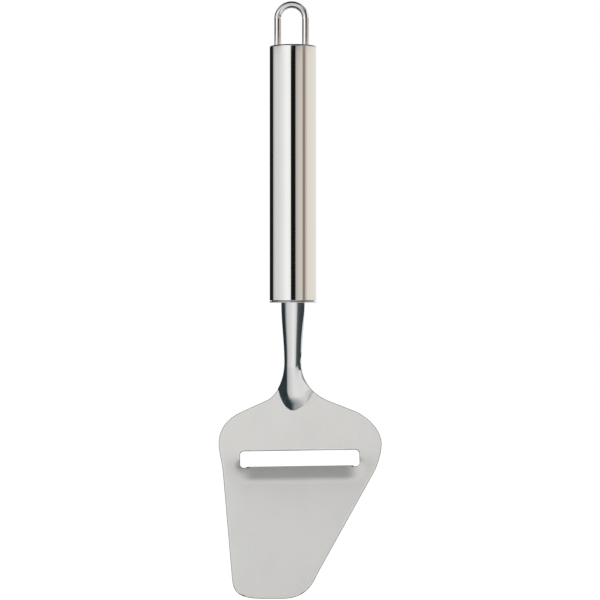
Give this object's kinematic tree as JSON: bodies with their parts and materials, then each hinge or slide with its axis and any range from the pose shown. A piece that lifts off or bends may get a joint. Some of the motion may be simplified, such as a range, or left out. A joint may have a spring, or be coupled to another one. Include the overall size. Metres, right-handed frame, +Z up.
{
  "type": "cheese slicer",
  "caption": "Hand-held cheese slicer: a slotted steel spade with a bent cutting lip, on a half-round neck fixed in a round tube handle with a wire hanging loop.",
  "frame": {"origin": "where a hook bears on the inside of the hanging loop, at its top", "axes": "+Z up along the handle's axis, from the blade to the loop; -Y out of the blade's upper side; +X to the right, seen from that side"},
  "size_m": [0.0668, 0.0204, 0.2438],
  "materials": {
    "loop_wire": "bright drawn stainless steel wire",
    "cap_steel": "polished stainless steel",
    "handle_steel": "mirror-polished stainless steel tube",
    "blade_steel": "satin stainless steel sheet, polished on the neck",
    "weld_metal": "weld bead, left as welded"
  },
  "bodies": {
    "root": {"hanging_loop": "loop_wire", "top_end_cap": "cap_steel", "handle_tube": "handle_steel", "bottom_end_cap": "cap_steel", "blade": "blade_steel", "neck_weld": "weld_metal", "loop_weld_left": "weld_metal", "loop_weld_right": "weld_metal"}
  },
  "joints": []
}
